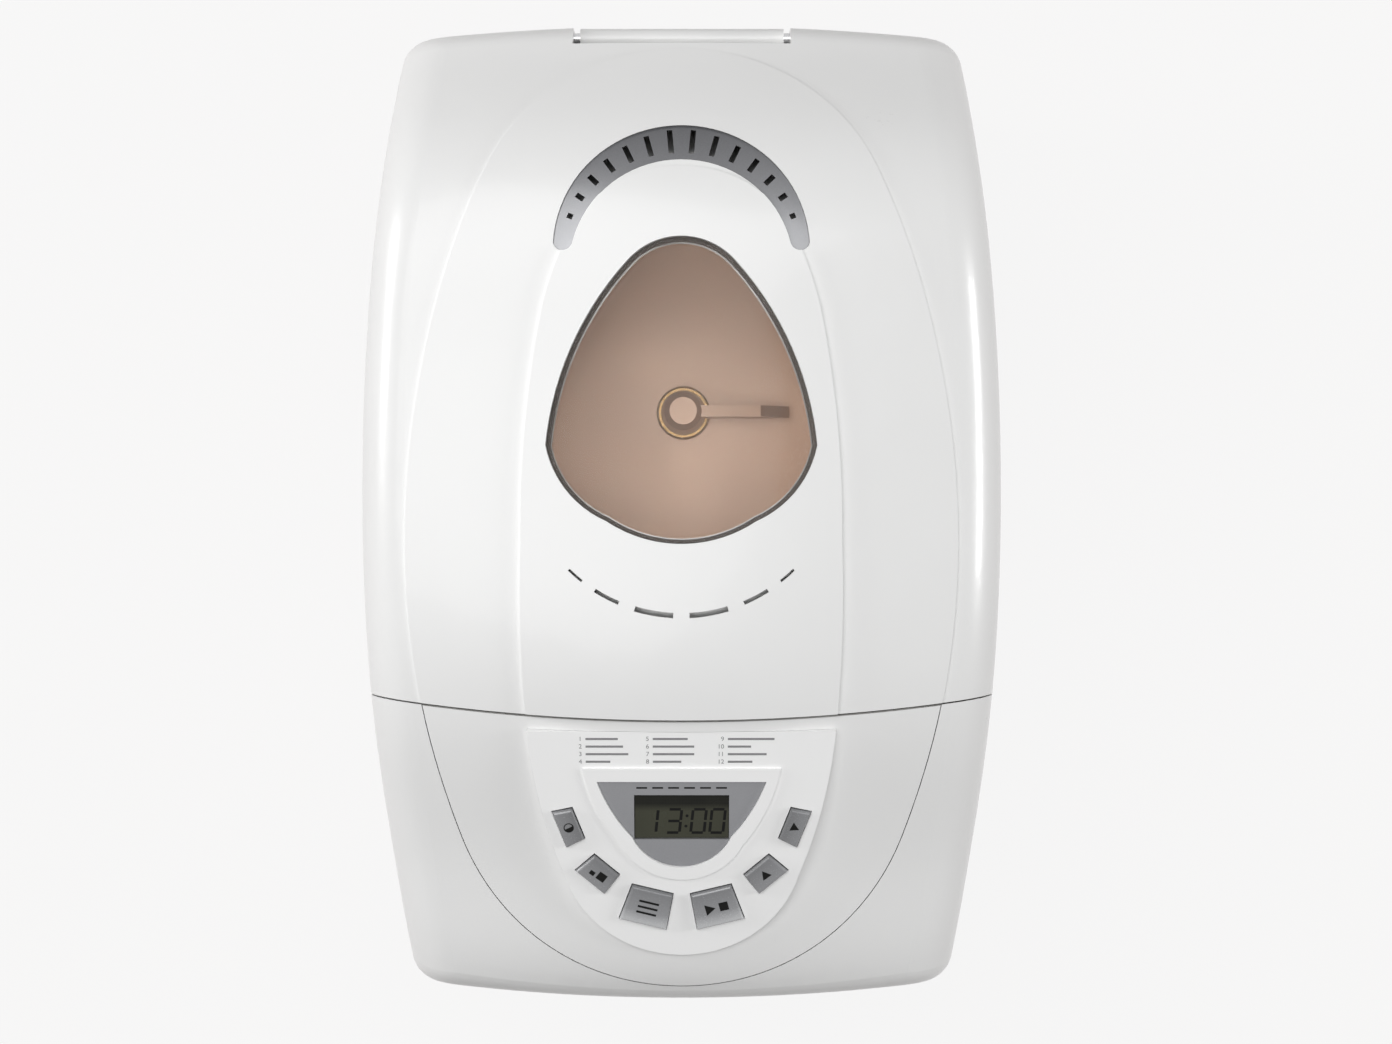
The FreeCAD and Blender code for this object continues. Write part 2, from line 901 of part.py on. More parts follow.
partition = cut(
    "partition",
    prism("partition_front", behind_seam("-seam_gap-2.4"), "deck_height-1", "90"),
    prism("partition_back", behind_seam("-seam_gap"), "deck_height-20", "150"),
)
slab = prism("deck_slab", behind_seam("-seam_gap-2.4"), "deck_height-deck_thick", "deck_thick")
keep(
    "chamber_deck",
    cut(
        "chamber_deck",
        shared("deck_trimmed", edge_form, join("deck_parts", slab, partition)),
        prism(
            "chamber_opening",
            rounded("chamber_half_x+socket_gap", "chamber_half_y+socket_gap", "chamber_corner+socket_gap"),
            "deck_height-20",
            "40",
        ),
        box("deck_hinge_gap", "0", "hinge_y-3+10", "deck_height-20", "2*barrel_half+1", "20", "60"),
    ),
)

# Baking chamber with its heater, clips, insulators and probe

ELEMENT_X = "(chamber_half_x-11)"
ELEMENT_Y = "(chamber_half_y-7)"
ELEMENT_Z = "(chamber_floor+28)"
TUBE = "3.25"
FLOOR_TOP = "(chamber_floor+chamber_sheet)"
FRONT_WALL = "(pan_y-chamber_half_y)"
tub = new_body("tub")
pad(
    tub,
    sketch(tub, "XY_Plane", "chamber_floor", rounded("chamber_half_x", "chamber_half_y", "chamber_corner")),
    "deck_height+chamber_sheet-chamber_floor",
)
pad(
    tub,
    sketch(
        tub,
        "XY_Plane",
        "deck_height",
        rounded(
            "chamber_half_x+chamber_flange",
            "chamber_half_y+chamber_flange",
            "chamber_corner+chamber_flange",
        ),
    ),
    "chamber_sheet",
)
pocket(
    tub,
    sketch(
        tub,
        "XY_Plane",
        "deck_height+chamber_sheet",
        rounded(
            "chamber_half_x-chamber_sheet", "chamber_half_y-chamber_sheet", "chamber_corner-chamber_sheet"
        ),
    ),
    f"deck_height+chamber_sheet-{FLOOR_TOP}",
)
pocket(tub, sketch(tub, "XY_Plane", FLOOR_TOP, ("0", "pan_y", "shaft_radius+1")), "chamber_sheet+1")
pocket(
    tub,
    sketch(
        tub,
        "XZ_Plane",
        f"-({FRONT_WALL}-1)",
        ("-20", ELEMENT_Z, f"{TUBE}+0.4"),
        ("20", ELEMENT_Z, f"{TUBE}+0.4"),
        ("48", f"{ELEMENT_Z}+45", "3.2"),
    ),
    "chamber_sheet+2",
)
keep("baking_chamber", tub)

loop_body = new_body("element_loop")
path = sketch(loop_body, "XY_Plane", ELEMENT_Z, rounded(ELEMENT_X, ELEMENT_Y, "element_corner"))
ring = sketch(loop_body, "XZ_Plane", "-pan_y", (ELEMENT_X, ELEMENT_Z, TUBE))
sweep = loop_body.newObject("PartDesign::AdditivePipe", "element_sweep")
sweep.Profile = ring
sweep.Spine = (path, [])
loop_body.Tip = sweep
leads = [
    rod(f"element_lead_{i}", TUBE, "22", x, f"pan_y-{ELEMENT_Y}", ELEMENT_Z, "90", (1, 0, 0))
    for i, x in enumerate(("-20", "20"))
]
keep("heating_element", join("heating_element", loop_body, *leads))
insulators = []
for i, x in enumerate(("-20", "20")):
    sleeve = cut(
        f"sleeve_{i}",
        rod(f"sleeve_out_{i}", "8", "7", x, FRONT_WALL, ELEMENT_Z, "90", (1, 0, 0)),
        rod(f"sleeve_in_{i}", f"{TUBE}+0.3", "20", x, f"{FRONT_WALL}+5", ELEMENT_Z, "90", (1, 0, 0)),
    )
    insulators.append(sleeve)
keep("element_insulators", group("element_insulators", *insulators))
clips = [
    box(
        f"clip_{i}",
        f"{sx}*{ELEMENT_X}",
        f"pan_y+({sy}*45)",
        FLOOR_TOP,
        "6",
        "9",
        f"{ELEMENT_Z}-{TUBE}-{FLOOR_TOP}",
    )
    for i, (sx, sy) in enumerate(((-1, -1), (1, -1), (1, 1), (-1, 1)))
]
keep("element_clips", group("element_clips", *clips))
keep(
    "temperature_probe",
    join(
        "temperature_probe",
        rod("probe_stem", "3", "18", "48", f"{FRONT_WALL}+10", f"{ELEMENT_Z}+45", "90", (1, 0, 0)),
        rod("probe_head", "6", "5", "48", FRONT_WALL, f"{ELEMENT_Z}+45", "90", (1, 0, 0)),
    ),
)

# Base plate with chassis posts, its feet, and the chassis that carries the drive

BASE_TOP = "(foot_height+base_thick)"
CHASSIS_TOP = "(chassis_height+chassis_thick)"
POSTS = [("-54", "4"), ("54", "4"), ("54", "-160"), ("-54", "-160")]
FEET = [("-82", "-140"), ("82", "-140"), ("82", "150"), ("-82", "150")]
posts = [
    rod(f"post_{i}", "6", f"chassis_height-{BASE_TOP}+1", x, y, f"{BASE_TOP}-1")
    for i, (x, y) in enumerate(POSTS)
]
post_bores = [rod(f"post_bore_{i}", "2.1", "12", x, y, "chassis_height-11") for i, (x, y) in enumerate(POSTS)]
guides = [
    box("guide_left", "-78.1", "-120", f"{BASE_TOP}-1", "4", "84", "5"),
    box("guide_right", "-72.1", "-120", f"{BASE_TOP}-1", "4", "84", "5"),
]
air_cut = new_body("air_cut")
air_slots = [rectangle(f"{x}-2", "80", f"{x}+2", "130") for x in range(-60, 61, 12)]
pad(air_cut, sketch(air_cut, "XY_Plane", "0", *air_slots), "30")
base_slab = shared(
    "base_slab",
    edge_form,
    box("base_box", "0", "0", "foot_height", "2*half_width+40", "depth+40", "base_thick"),
)
keep("base_plate", cut("base_plate", join("base_solid", base_slab, *posts, *guides), air_cut, *post_bores))
feet = [
    place(
        turned(
            f"foot_{i}",
            [("0", "0"), ("11", "0"), ("12.5", "2"), ("12.5", "foot_height"), ("0", "foot_height")],
        ),
        x,
        y,
    )
    for i, (x, y) in enumerate(FEET)
]
keep("rubber_feet", group("rubber_feet", *feet))

chassis = new_body("chassis")
chassis_holes = [(x, y, "2.4") for x, y in POSTS]
pad(
    chassis,
    sketch(
        chassis,
        "XY_Plane",
        "chassis_height",
        rectangle("-64", "motor_y-44", "64", "pan_y+30"),
        ("0", "pan_y", "bearing_radius+socket_gap"),
        ("0", "motor_y", "motor_shaft_radius+3"),
        *chassis_holes,
    ),
    "chassis_thick",
)
keep("chassis_plate", chassis)
screws = [
    place(
        turned(
            f"chassis_screw_{i}",
            [("0", "-10"), ("2", "-10"), ("2", "0"), ("4.5", "0"), ("4.5", "2"), ("3", "3"), ("0", "3")],
        ),
        x,
        y,
        CHASSIS_TOP,
    )
    for i, (x, y) in enumerate(POSTS)
]
keep("chassis_screws", group("chassis_screws", *screws))

# Drive: motor, two pulleys and a belt under the chassis, and a shaft up into the chamber

BELT_LOW = "(belt_height-belt_width/2)"
MOTOR_TOP = f"({CHASSIS_TOP}+motor_length)"
keep(
    "motor_can",
    place(
        turned(
            "motor_can_turn",
            [
                ("motor_shaft_radius+shaft_gap", CHASSIS_TOP),
                ("motor_radius-4", CHASSIS_TOP),
                ("motor_radius-4", f"{CHASSIS_TOP}+14"),
                ("motor_radius", f"{CHASSIS_TOP}+14"),
                ("motor_radius", f"{MOTOR_TOP}-20"),
                ("motor_radius-4", f"{MOTOR_TOP}-20"),
                ("motor_radius-9", f"{MOTOR_TOP}-6"),
                ("motor_shaft_radius+8", f"{MOTOR_TOP}-6"),
                ("motor_shaft_radius+8", MOTOR_TOP),
                ("motor_shaft_radius+shaft_gap", MOTOR_TOP),
            ],
        ),
        "0",
        "motor_y",
    ),
)
keep(
    "motor_shaft",
    rod("motor_rod", "motor_shaft_radius", f"{MOTOR_TOP}+4-{BELT_LOW}+6", "0", "motor_y", f"{BELT_LOW}-6"),
)


def pulley(name, shaft, radius, y):
    """A flanged belt pulley on a shaft."""
    low = f"({BELT_LOW}-1)"
    high = f"({BELT_LOW}+belt_width+1)"
    loop = [
        (shaft, f"{low}-2"),
        (f"{radius}+belt_thick+1", f"{low}-2"),
        (f"{radius}+belt_thick+1", low),
        (radius, low),
        (radius, high),
        (f"{radius}+belt_thick+1", high),
        (f"{radius}+belt_thick+1", f"{high}+2"),
        (shaft, f"{high}+2"),
    ]
    return keep(name, place(turned(name + "_turn", loop), "0", y))


pulley("motor_pulley", "motor_shaft_radius", "small_pulley_radius", "motor_y")
pulley("drive_pulley", "shaft_radius", "big_pulley_radius", "pan_y")


def belt_loop(extra):
    """The belt's outline about both pulleys, at a distance out from their faces."""
    big = f"(big_pulley_radius+({extra}))"
    small = f"(small_pulley_radius+({extra}))"
    lean = "((big_pulley_radius-small_pulley_radius)/(pan_y-motor_y))"
    flat = f"sqrt(1-{lean}^2)"
    return [
        (f"-{small}*{flat}", f"motor_y-{small}*{lean}", small, 1),
        (f"{small}*{flat}", f"motor_y-{small}*{lean}"),
        (f"{big}*{flat}", f"pan_y-{big}*{lean}", big, 1),
        ("0", f"pan_y+{big}", big, 1),
        (f"-{big}*{flat}", f"pan_y-{big}*{lean}"),
    ]


keep("drive_belt", prism("belt", belt_loop("belt_thick"), BELT_LOW, "belt_width", belt_loop("belt_gap")))
keep(
    "drive_shaft",
    rod("drive_rod", "shaft_radius", f"{FLOOR_TOP}+5-{BELT_LOW}+7", "0", "pan_y", f"{BELT_LOW}-7"),
)
keep(
    "bearing_housing",
    place(
        turned(
            "bearing_turn",
            [
                ("bearing_radius-2", "chassis_height-4"),
                ("bearing_radius", "chassis_height-4"),
                ("bearing_radius", CHASSIS_TOP),
                ("bearing_radius+14", CHASSIS_TOP),
                ("bearing_radius+14", f"{CHASSIS_TOP}+3"),
                ("bearing_radius+5", f"{CHASSIS_TOP}+4"),
                ("bearing_radius+5", "chamber_floor"),
                ("bearing_radius-2", "chamber_floor"),
            ],
        ),
        "0",
        "pan_y",
    ),
)
bushes = [
    place(
        turned(
            f"bush_{i}",
            [
                ("shaft_radius+shaft_gap", low),
                ("bearing_radius-2", low),
                ("bearing_radius-2", f"{low}+6"),
                ("shaft_radius+shaft_gap", f"{low}+6"),
            ],
        ),
        "0",
        "pan_y",
    )
    for i, low in enumerate(("(chassis_height-4)", "(chamber_floor-6.5)"))
]
keep("shaft_bushes", group("shaft_bushes", *bushes))

# Coupling and pan seat on the chamber floor

coupling = new_body("coupling")
pad(
    coupling,
    sketch(coupling, "XY_Plane", f"{FLOOR_TOP}+2", ("0", "pan_y", "16"), ("0", "pan_y", "shaft_radius")),
    "3",
)
prongs = [rectangle("-4", f"pan_y+({side}*12)-3", "4", f"pan_y+({side}*12)+3") for side in (-1, 1)]
pad(coupling, sketch(coupling, "XY_Plane", f"{FLOOR_TOP}+4.5", *prongs), "8.5")
keep("drive_coupling", coupling)
keep(
    "pan_seat",
    prism(
        "pan_seat_ring",
        ("0", "pan_y", "collar_radius+socket_gap+6"),
        FLOOR_TOP,
        "11",
        ("0", "pan_y", "collar_radius+socket_gap"),
    ),
)

# Bread pan with its collar, shaft bush, handle studs and bail handle

PAN_TOP = "(pan_floor+pan_height)"
tin = new_body("tin")
tin_block = pad(
    tin, sketch(tin, "XY_Plane", "pan_floor", rounded("pan_half_x", "pan_half_y", "pan_corner")), "pan_height"
)
tin_round = round_edges(tin, tin_block, lambda edge: edge.BoundBox.ZMax < value("pan_floor") + 0.01, "4")
pad(
    tin,
    sketch(
        tin,
        "XY_Plane",
        f"{PAN_TOP}-1.4",
        rounded("pan_half_x+pan_rim", "pan_half_y+pan_rim", "pan_corner+pan_rim"),
    ),
    "1.4",
)
tin_inside = pocket(
    tin,
    sketch(
        tin,
        "XY_Plane",
        PAN_TOP,
        rounded("pan_half_x-pan_wall", "pan_half_y-pan_wall", "pan_corner-pan_wall"),
    ),
    "pan_height-pan_wall",
)


def is_inner_floor(edge):
    around = edge.BoundBox
    return abs(around.ZMin - value("pan_floor+pan_wall")) < 0.01 and around.ZLength < 0.01


round_edges(tin, tin_inside, is_inner_floor, "3")
pocket(tin, sketch(tin, "XY_Plane", "pan_floor+pan_wall", ("0", "pan_y", "shaft_radius+3")), "pan_wall+2")
keep("bread_pan", tin)
keep(
    "pan_collar",
    prism(
        "pan_collar_ring",
        ("0", "pan_y", "collar_radius"),
        f"{FLOOR_TOP}+socket_gap",
        f"pan_floor-{FLOOR_TOP}-socket_gap",
        ("0", "pan_y", "collar_radius-4"),
    ),
)
keep(
    "pan_bush",
    place(
        turned(
            "pan_bush_turn",
            [
                ("shaft_radius+shaft_gap", "pan_floor-3"),
                ("shaft_radius+3", "pan_floor-3"),
                ("shaft_radius+3", "pan_floor+pan_wall"),
                ("shaft_radius+7", "pan_floor+pan_wall"),
                ("shaft_radius+6", "pan_floor+pan_wall+2.4"),
                ("shaft_radius+shaft_gap", "pan_floor+pan_wall+2.4"),
            ],
        ),
        "0",
        "pan_y",
    ),
)
HEAD_OFFSET = "(eye_offset+handle_wire+stud_gap)"
studs = []
for i, side in enumerate((-1, 1)):
    wall_y = f"(pan_y+({side}*pan_half_y))"
    head_y = f"(pan_y+({side}*(pan_half_y+{HEAD_OFFSET})))"
    outward = f"{-90 * side}"
    stem_length = f"{HEAD_OFFSET}+stud_head"
    studs.append(
        join(
            f"stud_{i}",
            rod(
                f"stud_stem_{i}",
                "stud_radius",
                stem_length,
                "0",
                wall_y,
                "handle_pivot",
                outward,
                (1, 0, 0),
            ),
            rod(
                f"stud_cap_{i}",
                "stud_radius+2.5",
                "stud_head",
                "0",
                head_y,
                "handle_pivot",
                outward,
                (1, 0, 0),
            ),
        )
    )
keep("handle_studs", group("handle_studs", *studs))
LEG = "(pan_half_y+eye_offset)"
bail = [
    rod(
        "bail_bar",
        "handle_wire",
        f"2*{LEG}",
        "handle_reach",
        f"pan_y+{LEG}",
        "handle_pivot",
        "90",
        (1, 0, 0),
    ),
    rod(
        "bail_grip",
        "grip_radius",
        "grip_length",
        "handle_reach",
        "pan_y+grip_length/2",
        "handle_pivot",
        "90",
        (1, 0, 0),
    ),
]
eye_bores = []
for i, side in enumerate((-1, 1)):
    leg_y = f"(pan_y+({side}*{LEG}))"
    eye_y = f"{leg_y}+eye_thick/2"
    bore_y = f"{leg_y}+eye_radius"
    bore = "stud_radius+shaft_gap"
    start = "(stud_radius+0.5)"
    knee = doc.addObject("Part::Sphere", f"bail_knee_{i}")
    knee.setExpression("Radius", bound("handle_wire"))
    bail.append(place(knee, "handle_reach", leg_y, "handle_pivot"))
    bail.append(
        rod(f"bail_leg_{i}", "handle_wire", f"handle_reach-{start}", start, leg_y, "handle_pivot", "90"),
    )
    bail.append(rod(f"bail_eye_{i}", "eye_radius", "eye_thick", "0", eye_y, "handle_pivot", "90", (1, 0, 0)))
    eye_bores.append(rod(f"eye_bore_{i}", bore, "2*eye_radius", "0", bore_y, "handle_pivot", "90", (1, 0, 0)))
keep("pan_handle", cut("pan_handle", join("bail", *bail), *eye_bores))

# Kneading paddle on its own shaft through the pan floor, driven by a winged dog

DOG_LOW = f"({FLOOR_TOP}+7)"
keep("paddle_shaft", rod("paddle_rod", "shaft_radius", f"pan_floor+28-{DOG_LOW}", "0", "pan_y", DOG_LOW))
dog = new_body("dog")
pad(dog, sketch(dog, "XY_Plane", DOG_LOW, ("0", "pan_y", "8"), ("0", "pan_y", "shaft_radius")), "9")
wings = [rectangle(f"{side}*11-4.5", "pan_y-3", f"{side}*11+4.5", "pan_y+3") for side in (-1, 1)]
pad(dog, sketch(dog, "XY_Plane", DOG_LOW, *wings), "5")
keep("pan_coupling", dog)
PADDLE_LOW = "(pan_floor+pan_wall+3)"
hub = turned(
    "paddle_hub",
    [
        ("0", "0"),
        ("10", "0"),
        ("8.5", "24"),
        ("6", "28"),
        ("0", "28"),
    ],
)
place(hub, "0", "pan_y", PADDLE_LOW)
blade = new_body("paddle_blade")
blade_pad = pad(
    blade,
    sketch(
        blade,
        "XZ_Plane",
        "-2.5",
        [("3", "0"), ("44", "0"), ("47", "6", "60", 1), ("34", "23"), ("3", "25")],
    ),
    "5",
)
place(blade, "0", "pan_y", PADDLE_LOW)
keep(
    "kneading_paddle",
    cut(
        "kneading_paddle",
        join("paddle_solid", hub, blade),
        rod(
            "paddle_bore",
            "shaft_radius+shaft_gap",
            f"pan_floor+28.3-{PADDLE_LOW}+5",
            "0",
            "pan_y",
            f"{PADDLE_LOW}-5",
        ),
    ),
)

# Power supply, cord entry and hinge pin

keep("power_board", box("power_card", "-75.1", "-120", BASE_TOP, "1.6", "78", "84"))
keep(
    "transformer",
    join(
        "transformer",
        box("transformer_core", "-89.9", "-110", f"{BASE_TOP}+30", "14", "42", "34"),
        box("transformer_winding", "-89.9", "-110", f"{BASE_TOP}+36", "28", "28", "22"),
    ),
)
keep("motor_capacitor", rod("capacitor_can", "15", "46", "82", "-140", f"{BASE_TOP}+15", "-90", (1, 0, 0)))
keep(
    "cord_gland",
    cut(
        "cord_gland",
        join(
            "gland_solid",
            rod("gland_stem", "5.7", "10", "-60", "depth/2-11.5", "26", "-90", (1, 0, 0)),
            rod("gland_flange", "9", "3", "-60", "depth/2-7.6", "26", "-90", (1, 0, 0)),
        ),
        rod("gland_hole", "3.4", "30", "-60", "depth/2-20", "26", "-90", (1, 0, 0)),
    ),
)
PIN_HALF = "(notch_half+knuckle_length-2.5)"
keep(
    "hinge_pin",
    rod("pin_rod", "pin_radius", f"2*{PIN_HALF}", f"-{PIN_HALF}", "hinge_y", "hinge_height", "90"),
)

# Checks, then one file for each piece

doc.recompute()
for thing in doc.Objects:
    if {"Invalid", "Error"} & set(thing.State):
        raise RuntimeError(f"{thing.Name}: {thing.getStatusString()}")
os.makedirs("parts", exist_ok=True)
for name, thing in nodes.items():
    shape = thing.Shape
    if shape.isNull() or not shape.isValid() or not shape.Solids:
        raise RuntimeError(f"{name} is not a sound solid")
    shape.exportStep(f"parts/{name}.step")
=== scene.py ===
import bpy
import bmesh
import json
import math
from mathutils import Matrix, Vector


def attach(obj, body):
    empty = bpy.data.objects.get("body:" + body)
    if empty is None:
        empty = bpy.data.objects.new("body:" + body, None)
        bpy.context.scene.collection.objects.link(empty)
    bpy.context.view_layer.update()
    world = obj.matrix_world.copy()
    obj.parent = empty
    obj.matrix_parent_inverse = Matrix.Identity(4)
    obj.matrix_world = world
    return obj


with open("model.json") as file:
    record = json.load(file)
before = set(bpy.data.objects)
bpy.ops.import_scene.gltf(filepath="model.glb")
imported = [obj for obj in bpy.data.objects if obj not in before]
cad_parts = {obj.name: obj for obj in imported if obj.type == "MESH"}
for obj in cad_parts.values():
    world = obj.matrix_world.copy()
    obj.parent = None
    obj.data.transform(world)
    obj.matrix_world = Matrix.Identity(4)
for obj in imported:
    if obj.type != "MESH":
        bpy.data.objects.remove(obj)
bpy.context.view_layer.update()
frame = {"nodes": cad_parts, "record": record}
nodes = frame["nodes"]
print("frame:", len(nodes), "pieces")


# shader maths on sockets
class Wire:
    def __init__(self, finish, socket):
        self.finish = finish
        self.socket = socket

    def math(self, operation, first, second=0.0):
        return self.finish.node("ShaderNodeMath", {"operation": operation}, {0: first, 1: second})

    def __add__(self, other):
        return self.math("ADD", self, other)

    def __radd__(self, other):
        return self.math("ADD", other, self)

    def __sub__(self, other):
        return self.math("SUBTRACT", self, other)

    def __rsub__(self, other):
        return self.math("SUBTRACT", other, self)

    def __mul__(self, other):
        return self.math("MULTIPLY", self, other)

    def __rmul__(self, other):
        return self.math("MULTIPLY", other, self)

    def __lt__(self, other):
        return self.math("LESS_THAN", self, other)


class NodeMaker:
    # adds nodes to a material's tree or to the world's
    def __init__(self, tree):
        self.tree = tree

    def node(self, kind, settings=None, sockets=None, out=0):
        made = self.tree.nodes.new(kind)
        for key, value in (settings or {}).items():
            if key == "stops":
                ramp = made.color_ramp
                while len(ramp.elements) < len(value):
                    ramp.elements.new(0.5)
                for element, (spot, colour) in zip(ramp.elements, value):
                    element.position = spot
                    element.color = (*colour, 1.0)
            else:
                setattr(made, key, value)
        for key, value in (sockets or {}).items():
            if isinstance(value, Wire):
                self.tree.links.new(value.socket, made.inputs[key])
            else:
                made.inputs[key].default_value = value
        return Wire(self, made.outputs[out])

    def surface(self, output, wire):
        self.tree.links.new(wire.socket, self.tree.nodes[output].inputs["Surface"])

    def seen(self):
        # 1 on rays that show a thing to the camera: straight, in a gloss or through glass
        rays = self.tree.nodes.new("ShaderNodeLightPath")
        straight = Wire(self, rays.outputs["Is Camera Ray"])
        inGloss = Wire(self, rays.outputs["Is Glossy Ray"])
        throughGlass = Wire(self, rays.outputs["Is Transmission Ray"])
        return straight + inGloss + throughGlass


class Finish(NodeMaker):
    # one material with its Principled shader; fixed values go straight on its sockets
    def __init__(self, name, **fixed):
        self.material = bpy.data.materials.new(name)
        self.material.use_nodes = True
        super().__init__(self.material.node_tree)
        self.shader = self.tree.nodes["Principled BSDF"]
        for socket, value in fixed.items():
            self.shader.inputs[socket.replace("_", " ")].default_value = value

    def feed(self, socket, wire):
        self.tree.links.new(wire.socket, self.shader.inputs[socket])

    def spot(self, scale=(1, 1, 1)):
        place = self.node("ShaderNodeTexCoord", out="Object")
        return self.node("ShaderNodeMapping", {}, {"Vector": place, "Scale": scale})

    def noise(self, size, detail, scale=(1, 1, 1)):
        # size is the width of a patch in metres
        return self.node(
            "ShaderNodeTexNoise",
            {},
            {"Vector": self.spot(scale), "Scale": 1.0 / size, "Detail": detail, "Roughness": 0.55},
        )

    def along(self, axis, first, last):
        # runs from 0 to 1 between two places on an axis
        place = self.node("ShaderNodeSeparateXYZ", {}, {"Vector": self.spot()}, out=axis)
        return self.node("ShaderNodeMapRange", {}, {"Value": place, "From Min": first, "From Max": last})

    def tint(self, mask, under, colour):
        return self.node(
            "ShaderNodeMix",
            {"data_type": "RGBA"},
            {"Factor": mask, 6: under, 7: (*colour, 1.0)},
            out=2,
        )

    def blend(self, mask, dark, light):
        return self.tint(mask, (*dark, 1.0), light)

    def bump(self, height, strength, distance):
        self.feed(
            "Normal",
            self.node("ShaderNodeBump", {}, {"Height": height, "Strength": strength, "Distance": distance}),
        )


def mouldedPlastic(name, dark, light, rough, coat, grain, lift):
    made = Finish(name, Coat_Weight=coat, Coat_Roughness=0.06, IOR=1.49)
    cloud = made.noise(0.09, 4.0)
    fine = made.noise(grain, 2.0)
    made.feed("Base Color", made.blend(cloud, dark, light))
    made.feed("Roughness", rough + (cloud - 0.5) * 0.10 + (fine - 0.5) * 0.05)
    made.bump(fine, 0.35, lift)
    return made


def silverTrim(name):
    # silver paint, mid grey at the display; the darkening toward the back of the lid, darkest at the back of
    # the vent and paler at its ends, is painted shade in the vent's recess
    made = Finish(name, Coat_Weight=0.25, Coat_Roughness=0.12)
    flakes = made.noise(0.0005, 3.0)
    # the ramp runs front to back: the bezel's own grey, then painted shade deepening toward the back of the
    # vent
    shade = made.node(
        "ShaderNodeValToRGB",
        {
            "stops": (
                (0.0, (0.235, 0.237, 0.25)),
                (0.55, (0.32, 0.322, 0.335)),
                (0.82, (0.30, 0.302, 0.315)),
                (1.0, (0.082, 0.083, 0.09)),
            )
        },
        {"Fac": made.along("Y", -0.140, 0.150)},
    )
    made.feed("Base Color", made.tint(flakes * 0.10, shade, (0.75, 0.755, 0.77)))
    made.feed("Roughness", 0.34 + (flakes - 0.5) * 0.12)
    made.feed("Metallic", 0.25 + flakes * 0.2)
    made.bump(flakes, 0.25, 0.00003)
    return made


def silverKeys(name):
    # silver paint on the keys, with painted shade on their inner edges next to the display and a painted
    # highlight toward their outer edges
    made = Finish(name, Coat_Weight=0.4, Coat_Roughness=0.07)
    flakes = made.noise(0.0004, 3.0)
    fromDisplay = made.node(
        "ShaderNodeMapping",
        {},
        {"Vector": made.spot(), "Location": (0, 0.1131, 0), "Scale": (1, 1.064, 0)},
    )
    reach = made.node("ShaderNodeVectorMath", {"operation": "LENGTH"}, {0: fromDisplay}, out="Value")
    fade = made.node("ShaderNodeMapRange", {}, {"Value": reach, "From Min": 0.041, "From Max": 0.060})
    # painted shade close to the display, rising to a painted highlight at the keys' outer edges
    shade = made.node(
        "ShaderNodeValToRGB",
        {
            "stops": (
                (0.0, (0.11, 0.112, 0.117)),
                (0.35, (0.19, 0.192, 0.20)),
                (0.75, (0.26, 0.263, 0.272)),
                (1.0, (0.50, 0.505, 0.515)),
            )
        },
        {"Fac": fade + (flakes - 0.5) * 0.12},
    )
    made.feed("Base Color", made.tint(flakes * 0.08, shade, (0.75, 0.755, 0.765)))
    made.feed("Roughness", 0.26 + (flakes - 0.5) * 0.10)
    made.feed("Metallic", 0.15 + flakes * 0.2)
    made.bump(flakes, 0.2, 0.00003)
    return made


def sheetMetal(name, dark, light, rough, along, grain):
    made = Finish(name, Metallic=1.0)
    stretch = tuple(0.02 if axis == along else 1.0 for axis in "xyz")
    lines = made.noise(grain, 5.0, stretch)
    cloud = made.noise(0.05, 3.0)
    made.feed("Base Color", made.blend(lines * 0.7 + cloud * 0.3, dark, light))
    made.feed("Roughness", rough + (lines - 0.5) * 0.18 + (cloud - 0.5) * 0.10)
    made.bump(lines, 0.25, 0.00012)
    return made


def castMetal(name, dark, light, rough):
    made = Finish(name, Metallic=1.0)
    pits = made.noise(0.0012, 4.0)
    cloud = made.noise(0.02, 3.0)
    made.feed("Base Color", made.blend(cloud, dark, light))
    made.feed("Roughness", rough + (pits - 0.5) * 0.25)
    made.bump(pits, 0.4, 0.0002)
    return made


def coatedPan(name):
    # warm non-stick coating: fine flecks over a soft sheen
    made = Finish(name, Metallic=0.6, Coat_Weight=0.25, Coat_Roughness=0.2)
    flecks = made.node("ShaderNodeTexVoronoi", {"feature": "F1"}, {"Vector": made.spot(), "Scale": 900.0})
    cloud = made.noise(0.04, 4.0)
    fleck = flecks < 0.28
    base = made.blend(cloud, (0.69, 0.45, 0.32), (0.79, 0.54, 0.40))
    made.feed("Base Color", made.tint(fleck * 0.35, base, (0.90, 0.70, 0.56)))
    made.feed("Roughness", 0.42 + (cloud - 0.5) * 0.16 - fleck * 0.08)
    made.bump(flecks, 0.2, 0.00008)
    return made


def clearPane(name, tint, alpha):
    made = Finish(name, Roughness=0.04, IOR=1.5, Coat_Weight=0.3, Coat_Roughness=0.03)
    haze = made.noise(0.03, 4.0)
    made.feed("Base Color", made.blend(haze, tint, tuple(min(1.0, t * 1.06) for t in tint)))
    made.feed("Alpha", alpha + (haze - 0.5) * 0.04)
    return made


